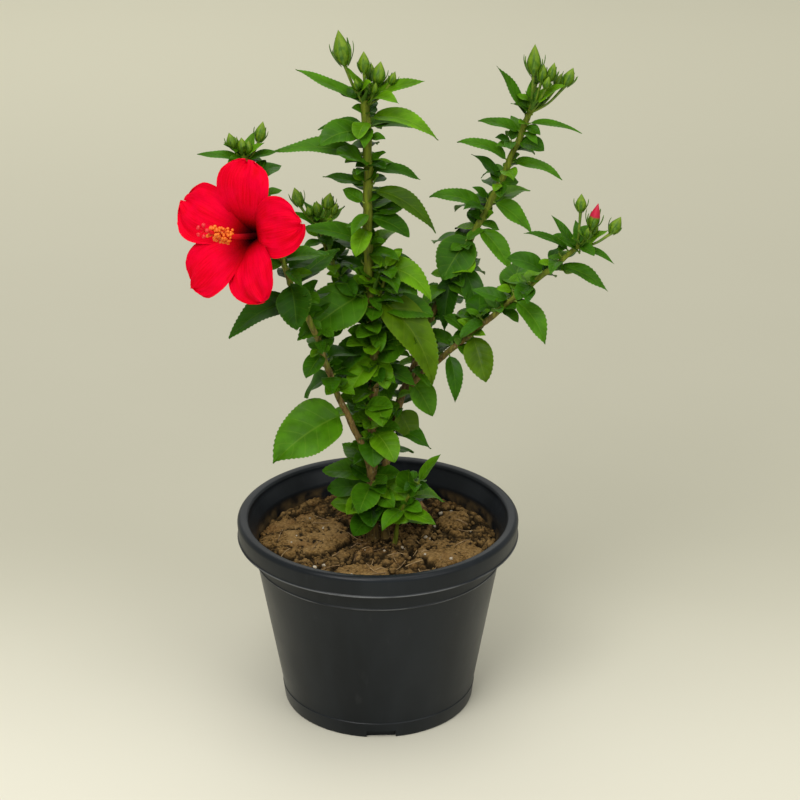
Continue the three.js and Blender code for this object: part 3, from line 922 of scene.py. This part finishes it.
def petal(pile, phase, length, dice):
    """One ruffled petal: narrow in the throat, round at its end."""
    axis, side, up = bloom_frame()
    out = side * math.cos(phase) + up * math.sin(phase)
    around = axis.cross(out)
    rows_count = 36
    half_count = 14
    line = smooth_path([(1.5, -2, 0), (6, 7, 0), (15, 17, 0), (29, 26, 0), (45, 30.5, 0),
                        (length, 31, 0)], 100)
    wave = dice.uniform(0, 6.3)
    tilt = dice.uniform(-1.5, 1.5)
    grid = []
    normals = []
    for i in range(rows_count + 1):
        along = 1 - (1 - i / rows_count) ** 1.35
        broad = smoothstep(along, -0.1, 0.68)
        tail = max(0.0, (along - 0.66) / 0.34)
        half = lerp(2.2, PETAL_HALF, broad) * math.sqrt(max(1 - tail ** 2.5, 0.0006))
        row = []
        for j in range(-half_count, half_count + 1):
            off = j / half_count
            end_wave = 1 + 0.012 * math.sin(off * 5 + wave) * along ** 4
            place = line[min(int(along * end_wave * 99), 99)]
            radial, depth = place.x, place.y
            depth += 2.6 * off * broad + 3.0 * off * off * broad * (0.6 - along) + tilt * along
            frill = math.sin(off * 9 + wave) * 0.8 + math.sin(off * 17 + along * 9 + wave * 2) * 0.6
            edge = max(abs(off) ** 3 * broad, tail ** 2)
            depth += frill * edge * 1.6 + math.sin(off * 22 + wave) * broad * 0.2
            depth -= 4.5 * tail ** 2
            crumple = noise.noise(Vector((off * 3 + phase * 9, along * 4, wave)))
            depth += crumple * 3.0 * broad
            radial += crumple * 1.2 * broad
            row.append(THROAT + out * radial + around * (half * off) + axis * depth)
        grid.append(row)
        normals.append(axis)
    pile.shell(grid, normals, 0.45, 0, 0, dice.uniform(0.3, 0.7))


def stamens(route, column, pollen, dice):
    """Anthers on short filaments around the column's outer part."""
    axis, side, up = bloom_frame()
    for k in range(ANTHER_COUNT):
        share = dice.uniform(0.56, 0.9)
        place = route[int(share * (len(route) - 1))]
        turn = k * math.radians(GOLDEN_TURN)
        outward = side * math.cos(turn) + up * math.sin(turn) + axis * dice.uniform(0.1, 0.7)
        outward.normalize()
        end = place + outward * dice.uniform(3.5, 7.5) * (1.1 - 0.35 * share)
        column.tube([place, place.lerp(end, 0.5) + axis * 0.3, end], [0.28, 0.24, 0.2], 5, 0, 1.0)
        size = dice.uniform(1.2, 1.7)
        lie = (outward.orthogonal() + outward * dice.uniform(-0.4, 0.4)).normalized()
        profile = [(0.05, 0.2), (size * 0.4, size * 0.75), (size, size * 0.95),
                   (size * 1.6, size * 0.7), (size * 2, 0.2)]
        pollen.ball(end - lie * size, lie, profile, 8, 0, dice.random())


def bloom(looks):
    dice = random.Random(31)
    axis, side, up = bloom_frame()
    petals = Pile()
    for k, length in enumerate(PETAL_LENGTHS):
        petal(petals, math.radians(FIRST_PETAL + 72 * k), length, dice)
    petals.build("petals", [looks["petal"]], "petal", ["bloom"], sharp=70)

    column = Pile()
    pollen = Pile()
    stigmas = Pile()
    tip = THROAT + axis * COLUMN_LENGTH + up * 1.5
    route = smooth_path([THROAT - axis * 4, THROAT + axis * 22 - up * 1.5,
                         THROAT + axis * COLUMN_LENGTH * 0.7 - up, tip], 40)
    column.tube(route, [2.7 - 1.4 * (k / 39) ** 1.2 for k in range(40)], 12, 0,
                [smoothstep(k / 39, 0.15, 0.6) for k in range(40)])
    stamens(route, column, pollen, dice)
    for k in range(5):
        turn = 2 * math.pi * k / 5 + 0.4
        outward = side * math.cos(turn) + up * math.sin(turn)
        end = tip + axis * 7 + outward * 4.6
        column.tube(smooth_path([tip - axis, tip + axis * 4 + outward * 1.2, end], 8), [0.45] * 8, 6, 0, 1.0)
        r = 1.75
        stigmas.ball(end - axis * 0.4, outward + axis,
                     [(-r * 0.9, 0.3), (-r * 0.55, r * 0.8), (0, r), (r * 0.55, r * 0.85), (r * 0.85, 0.4)],
                     12, 0, 0.5)
    column.build("column", [looks["column"]], "throat")
    pollen.build("anthers", [looks["pollen"]], "pollen")
    stigmas.build("stigmas", [looks["stigma"]], "petal")

    calyx = Pile()
    calyx.ball(THROAT - axis * 19, axis, [(0, 1.6), (2, 3.6), (5, 5.6), (9, 6.6), (13, 7.2), (17, 7.6)],
               20, 0, 0.5, 5, 0.06)
    calyx.build("calyx", [looks["bud"]], "bud")
    for k in range(5):
        outward = Matrix.Rotation(2 * math.pi * k / 5, 3, axis) @ side
        bract(THROAT - axis * 8 + outward * 6, outward, axis, 19, 9)
    for k in range(7):
        outward = Matrix.Rotation(2 * math.pi * (k + 0.5) / 7, 3, axis) @ side
        bract(THROAT - axis * 19 + outward * 2, (outward + axis * 0.2).normalized(), axis, 11, 2.2)


# ---------------------------------------------------------------- pot and soil

BASE_RADIUS = 87
SHOULDER_RADIUS = 112
INNER_SHOULDER = 109.5
LIP_HEIGHT = 19
BAND_HEIGHT = 20
FOOT_HEIGHT = 15
# The pot's floor: how far its underside is hollowed, and its top.
HOLLOW = 6
FLOOR_TOP = 9
# The four drain slots: the turn of the first in degrees, then width, depth and height.
SLOT_TURN = 2
SLOT_SIZE = (26, 10, 7)
POT_SIDES = 160
# How many points at the end of the pot's section lie inside it.
INSIDE_POINTS = 17


def pot_profile():
    """The pot's section, as (radius, height), from the middle of its underside and back."""
    lip = POT_HEIGHT - LIP_HEIGHT
    band = lip - BAND_HEIGHT
    rim = RIM_RADIUS
    foot = BASE_RADIUS + 1.6
    shoulder = SHOULDER_RADIUS - 0.6
    points = [
        (0.1, HOLLOW), (BASE_RADIUS - 9, HOLLOW), (BASE_RADIUS - 7, 0.4), (BASE_RADIUS - 6, 0),
        (BASE_RADIUS - 2.4, 0), (BASE_RADIUS - 0.7, 0.6), (BASE_RADIUS, 2.4),
        (foot - 0.2, FOOT_HEIGHT - 0.8), (foot, FOOT_HEIGHT), (foot - 0.5, FOOT_HEIGHT + 0.7),
    ]
    points += [(lerp(foot - 0.4, shoulder - 1.4, k / 12), lerp(FOOT_HEIGHT + 2, band - 0.8, k / 12))
               for k in range(13)]
    points += [(shoulder - 0.8, band - 0.4), (shoulder + 0.3, band), (shoulder + 0.6, band + 0.6),
               (shoulder - 0.2, band + 1.8), (SHOULDER_RADIUS + 0.6, lip), (rim - 7.5, POT_HEIGHT - 4.6)]
    points += [(rim - 3.4, POT_HEIGHT - 4.8), (rim - 3.5, lip + 4), (rim - 3.4, lip + 0.6),
               (rim - 2.8, lip - 0.1), (rim - 1.6, lip - 0.2), (rim - 0.5, lip + 0.2),
               (rim - 0.2, lip + 0.9), (rim - 1.2, lip + 2.2), (rim - 1, lip + 6)]
    for k in range(9):
        turn = math.pi / 2 * k / 8
        points.append((rim - 4.6 + 4.2 * math.cos(turn), POT_HEIGHT - 4.4 + 4.4 * math.sin(turn)))
    for k in range(1, 8):
        turn = math.pi / 2 * k / 7
        points.append((rim - 7.6 - 3 * math.sin(turn), POT_HEIGHT - 3.4 + 3 * math.cos(turn)))
    points += [(lerp(rim - 11, INNER_SHOULDER, k / 5), lerp(POT_HEIGHT - 5, lip, k / 5)) for k in range(6)]
    points += [(lerp(INNER_SHOULDER, 84.6, k / 8), lerp(lip - 3, FLOOR_TOP + 0.4, k / 8))
               for k in range(9)]
    points += [(82, FLOOR_TOP), (0.1, FLOOR_TOP)]
    return points


def ring(radius, height, sides):
    turns = [2 * math.pi * k / sides for k in range(sides)]
    return [Vector((radius * math.cos(turn), radius * math.sin(turn), height)) for turn in turns]


def pot(look):
    profile = pot_profile()
    inside_from = len(profile) - INSIDE_POINTS
    pile = Pile()
    rows = [ring(radius, height, POT_SIDES) for radius, height in profile]
    # The beads' rows get tone -1, which paints a pale highlight line on them; the inside rows get tone 1,
    # for the mud stain.
    beads = (POT_HEIGHT - LIP_HEIGHT + 0.9, POT_HEIGHT - LIP_HEIGHT - BAND_HEIGHT + 0.6)
    tones = [1.0 if i > inside_from else -1.0 if height in beads else 0.0
             for i, (radius, height) in enumerate(profile)]
    pile.closed(rows, 0, tones)
    piece = pile.build("pot_wall", [look], "pot", ["pot"], sharp=38)
    cut_slots(piece)


def cut_slots(piece):
    """Cuts the four drain slots out of the pot's foot."""
    shapes = bmesh.new()
    width, depth, height = (size * MM for size in SLOT_SIZE)
    for k in range(4):
        turn = Matrix.Rotation(math.radians(SLOT_TURN + 90 * k), 4, "Z")
        box = Matrix.Translation((0, -BASE_RADIUS * MM, 0))
        size = Matrix.Diagonal((width, depth, 2 * height, 1))
        bmesh.ops.create_cube(shapes, size=1, matrix=turn @ box @ size)
    mesh = bpy.data.meshes.new("slots")
    shapes.to_mesh(mesh)
    shapes.free()
    tool = bpy.data.objects.new("slots", mesh)
    bpy.context.scene.collection.objects.link(tool)
    cut = piece.modifiers.new("slots", "BOOLEAN")
    cut.object = tool
    cut.operation = "DIFFERENCE"
    cut.solver = "EXACT"
    graph = bpy.context.evaluated_depsgraph_get()
    carved = bpy.data.meshes.new_from_object(piece.evaluated_get(graph))
    piece.modifiers.clear()
    piece.data = carved
    bpy.data.objects.remove(tool)


SOIL_RADIUS = 107.9
SOIL_RINGS = 150
SOIL_SIDES = 380
CRUMB_COUNT = 1100
STONE_SHARE = 0.035
STRAW_COUNT = 60
# Where the dried crust is whole: (x, y, radius).
CAKES = ((-68, 10, 40), (20, 66, 26), (64, -22, 28), (-12, -72, 26), (68, 40, 18))


def ground(x, y):
    """The soil's height over its level at a place, and a share from 0 to 1 that is low where the crust is
    loose and in cracks, rifts and hollows: it sets crumb sizes and paints shade into the earth's colour.
    """
    ragged = noise.fractal(Vector((x / 16, y / 16, 9.4)), 1.0, 2.0, 3) * 7
    inside = max(radius + ragged - math.hypot(x - east, y - north) for east, north, radius in CAKES)
    cake = smoothstep(inside, -1, 5)
    rift = 1 - smoothstep(abs(inside + 2.5), 0.0, 4.5)
    swirl = noise.noise_vector(Vector((x / 12, y / 12, 4))) * 0.5
    near, _ = noise.voronoi(Vector((x / 13, y / 13, 3.7)) + swirl)
    crack = 1 - smoothstep(near[1] - near[0], 0.0, 0.3)
    small, _ = noise.voronoi(Vector((x / 5.5, y / 5.5, 1.7)) + swirl)
    clod = 1 - smoothstep(small[0], 0.1, 0.75)
    lumps = noise.fractal(Vector((x / 9, y / 9, 0.5)), 0.9, 2.1, 4)
    pits = noise.fractal(Vector((x / 3, y / 3, 5.5)), 0.8, 2.2, 3)
    loose = 1 - cake
    height = cake * 1.8 - loose * 1.2 - rift * 2.2 - crack * lerp(1.6, 0.4, cake) + clod * loose * 1.6
    height += lumps * lerp(2.2, 0.6, cake) + pits * lerp(0.7, 0.35, cake)
    height -= 1.5 * smoothstep(math.hypot(x, y), 96, SOIL_RADIUS)
    # Lower in cracks, rifts, between clods and in low spots: these become painted shade in the earth's
    # colour.
    crust_and_light = (1 - 0.75 * crack * (0.25 + 0.75 * loose)) * lerp(0.45 + 0.4 * clod, 1, cake)
    crust_and_light *= 1 - 0.85 * rift
    return height, crust_and_light * smoothstep(lumps + pits * 0.6, -0.9, 0.05)


def scattered(dice, spread):
    """A seeded place on the soil."""
    radius = SOIL_RADIUS * spread * math.sqrt(dice.random())
    turn = dice.uniform(0, 2 * math.pi)
    return radius * math.cos(turn), radius * math.sin(turn)


def crumb(pile, dice, centre, size, tone):
    tilt = UP + Vector((dice.uniform(-0.6, 0.6), dice.uniform(-0.6, 0.6), 0))
    profile = []
    for height, radius in ((0, 0.3), (0.3, 0.8), (0.75, 1), (1.15, 0.75), (1.4, 0.25)):
        profile.append((size * height, size * radius * dice.uniform(0.8, 1.15)))
    pile.ball(centre - UP * size * 0.6, tilt, profile, 7, 0, tone, 3, dice.uniform(0.05, 0.25))


def soil(looks):
    dice = random.Random(5)
    rows = [ring(84, FLOOR_TOP + 1, SOIL_SIDES)]
    shade_tones = [0.3] * SOIL_SIDES
    for i in range(SOIL_RINGS, -1, -1):
        row = ring(lerp(0.4, SOIL_RADIUS, i / SOIL_RINGS), 0, SOIL_SIDES)
        for point in row:
            height, crust_and_light = ground(point.x, point.y)
            point.z = min(SOIL_TOP + height, soil_high.z + 2)
            shade_tones.append(crust_and_light)
        rows.append(row)
    pile = Pile()
    pile.closed(rows)
    # The tones paint shade into the earth: dark in cracks, rifts and hollows.
    pile.tones = shade_tones
    pile.build("earth", [looks["soil"]], "soil", ["soil"], sharp=80)

    crumbs = Pile()
    pebbles = Pile()
    for k in range(CRUMB_COUNT):
        x, y = scattered(dice, 0.985)
        height, crust_and_light = ground(x, y)
        stone = dice.random() < STONE_SHARE
        size = dice.uniform(0.7, 2.2) if stone else 0.4 + 2.2 * dice.random() ** 2
        if not stone:
            size *= lerp(1, 0.4, smoothstep(crust_and_light, 0.55, 0.9))
        centre = Vector((x, y, SOIL_TOP + height + size * 0.25))
        # Crumbs in cracks and hollows get a lower tone, so they are painted in shade.
        crumb(pebbles if stone else crumbs, dice, centre, size, lerp(0.4, 1, crust_and_light))
    crumbs.build("crumbs", [looks["soil"]], "soil", sharp=80)
    pebbles.build("pebbles", [looks["pebble"]], "pebble", sharp=80)

    straw = Pile()
    for k in range(STRAW_COUNT):
        x, y = scattered(dice, 0.85)
        heading = aim(dice.uniform(0, 360), 0)
        length = dice.uniform(5, 24)
        curl = heading.cross(UP) * dice.uniform(-4, 4)
        line = []
        for share in (-0.5, 0, 0.5):
            spot = Vector((x, y, 0)) + heading * length * share + curl * (0.25 - share * share)
            spot.z = SOIL_TOP + ground(spot.x, spot.y)[0] + 0.9
            line.append(spot)
        straw.tube(smooth_path(line, 10), [dice.uniform(0.25, 0.55)] * 10, 5, 0, dice.random())
    straw.build("straw", [looks["straw"]], "pebble")


# ---------------------------------------------------------------- stage

def stage():
    """A plain floor with painted light: paler in front of the pot and far behind it, with painted shade
    towards the right; and four soft lights.
    """
    bpy.ops.mesh.primitive_plane_add(size=30, location=(0, 0, 0))
    floor = bpy.context.object
    floor.name = "floor"
    look = Look("floor", 0.8, Specular_IOR_Level=0.05)
    split = look.node("ShaderNodeSeparateXYZ")
    look.put(split.inputs[0], look.object_place)
    body = look.mix(look.noise(3, 2), (0.5, 0.483, 0.392, 1), (0.53, 0.512, 0.42, 1))
    # Painted pool of light on the floor in front of the pot.
    body = look.mix(look.range(split.outputs[1], 0.35, -0.2), body, (0.74, 0.715, 0.615, 1))
    # Painted light far behind the pot, making up for the lamps' falloff.
    body = look.mix(look.range(split.outputs[1], 0.5, 2.6, 0.0, 1.0), body, (0.72, 0.695, 0.56, 1))
    # Painted shade towards the floor's right.
    body = look.mix(look.range(split.outputs[0], -0.8, 0.6, 0.0, 0.22), body, (0.42, 0.41, 0.325, 1))
    floor.data.materials.append(look.finish(body))

    world = bpy.context.scene.world or bpy.data.worlds.new("studio")
    bpy.context.scene.world = world
    world.use_nodes = True
    backdrop = world.node_tree.nodes["Background"]
    backdrop.inputs["Color"].default_value = (0.9, 0.9, 0.82, 1)
    backdrop.inputs["Strength"].default_value = 0.53

    for name, place, size, power in (
        ("key", (-1.3, -2.6, 3.4), 2.2, 96),
        ("fill", (2.2, -2.2, 2.2), 2.0, 26),
        ("top", (0.2, -0.2, 3.4), 2.4, 34),
        ("back", (-0.4, 3.2, 2.6), 3.0, 20),
    ):
        lamp = bpy.data.lights.new(name, "AREA")
        lamp.size = size
        lamp.energy = power
        lamp.color = (1, 0.99, 0.96)
        holder = bpy.data.objects.new(name, lamp)
        holder.location = place
        holder.rotation_euler = (Vector((0, 0, 0.25)) - Vector(place)).to_track_quat("-Z", "Y").to_euler()
        bpy.context.scene.collection.objects.link(holder)


def camera():
    """The view: two metres off, a little to the right of the pot, looking down by 23.4 degrees."""
    distance = 2.0
    pitch = math.radians(23.4)
    lens = bpy.data.cameras.new("camera")
    lens.sensor_width = 36
    lens.lens = 102.1
    eye = bpy.data.objects.new("camera", lens)
    eye.location = (0.0199, -distance * math.cos(pitch), 0.293 + distance * math.sin(pitch))
    eye.rotation_euler = (math.pi / 2 - pitch, 0, 0)
    bpy.context.scene.collection.objects.link(eye)
    bpy.context.scene.camera = eye


# ---------------------------------------------------------------- the whole plant

LEAF_COLOURS = {
    D: ((0.026, 0.105, 0.001), (0.09, 0.21, 0.012), 0.4),
    M: ((0.045, 0.155, 0.002), (0.16, 0.29, 0.02), 0.42),
    Y: ((0.09, 0.245, 0.002), (0.24, 0.39, 0.03), 0.45),
    O: ((0.048, 0.115, 0.0), (0.14, 0.21, 0.01), 0.42),
}


def main():
    camera()
    stage()
    bpy.context.scene.view_settings.view_transform = "Standard"

    bark = bark_look("bark", (0.16, 0.105, 0.03), (0.13, 0.17, 0.01))
    for stem in STEMS.values():
        stem.mesh(bark)

    key_leaves()
    filling_leaves()
    foot_leaves()
    buds()
    looks = {
        "petal": petal_look(),
        "column": column_look(),
        "pollen": plain_look("anthers", (0.75, 0.1, 0.003), (0.9, 0.24, 0.008), 700, 0.6),
        "stigma": plain_look("stigma", (0.62, 0.002, 0.008), (0.85, 0.02, 0.03), 900, 0.5),
        "bud": bud_look(),
        "soil": soil_look(),
        "pebble": plain_look("pebble", (0.25, 0.2, 0.13), (0.6, 0.53, 0.42), 260, 0.7),
        "straw": plain_look("straw", (0.14, 0.08, 0.035), (0.4, 0.27, 0.12), 120, 0.8),
    }
    bloom(looks)

    masses = [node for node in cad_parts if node.endswith(("_leaves", "_leaf"))]
    underside = underside_look((0.075, 0.165, 0.016))
    for tone, (colour, rib, gloss) in LEAF_COLOURS.items():
        look = leaf_look("leaf " + tone, colour, rib, gloss)
        LEAF_PILES[tone].build("leaves_" + tone, [look, underside], "leaf", masses if tone == M else ())
    petiole = plain_look("petiole", (0.07, 0.15, 0.004), (0.17, 0.25, 0.012), 200, 0.55)
    PETIOLES.build("petioles", [petiole], "green_stem")
    BUDS.build("buds", [looks["bud"]], "bud")
    bract_green = plain_look("bract", (0.035, 0.12, 0.003), (0.12, 0.25, 0.012), 260, 0.5)
    BRACTS.build("bracts", [bract_green], "bud")

    pot(pot_look())
    soil(looks)


main()
